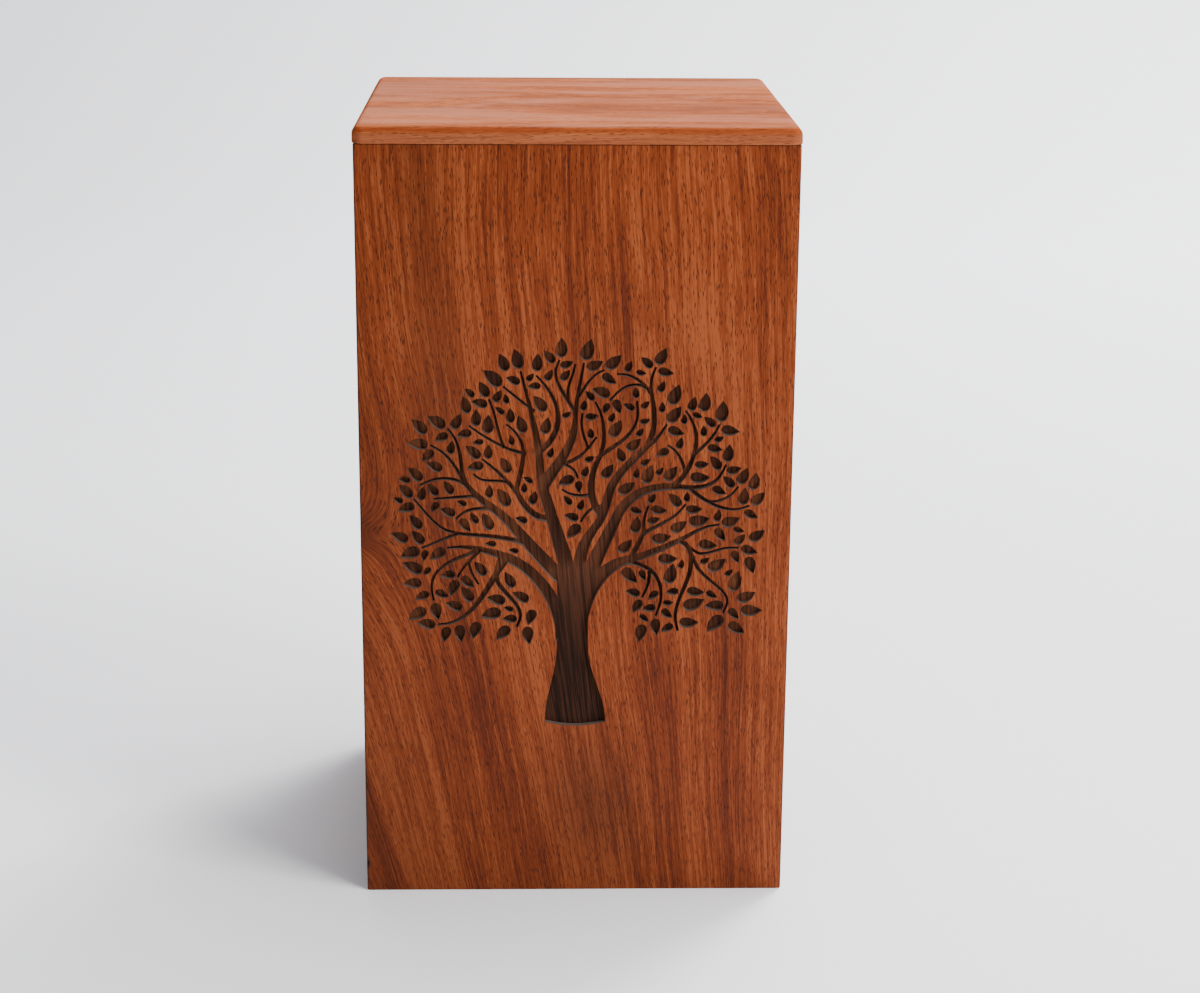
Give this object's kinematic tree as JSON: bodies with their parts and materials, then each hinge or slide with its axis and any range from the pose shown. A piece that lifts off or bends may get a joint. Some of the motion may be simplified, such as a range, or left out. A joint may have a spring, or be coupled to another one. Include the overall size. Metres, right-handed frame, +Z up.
{
  "type": "cremation urn box",
  "caption": "Upright wooden urn box with a rebated lift-off lid, hollow inside, and a tree engraved and burnt into its front board.",
  "frame": {"origin": "middle of the underside, on the surface the box stands on", "axes": "+Z up along the box's height, -Y out of the engraved front, +X to the right as seen from the front"},
  "size_m": [0.153, 0.153, 0.28],
  "materials": {
    "front_wood": "satin oiled rosewood, upright grain, engraving burnt dark brown",
    "body_wood": "satin oiled rosewood, upright grain",
    "base_wood": "plain sanded rosewood",
    "lid_wood": "satin oiled rosewood, grain left to right"
  },
  "bodies": {
    "root": {"front_board": "front_wood", "back_board": "body_wood", "left_side": "body_wood", "right_side": "body_wood", "base_board": "base_wood", "lid": "lid_wood"}
  },
  "joints": []
}
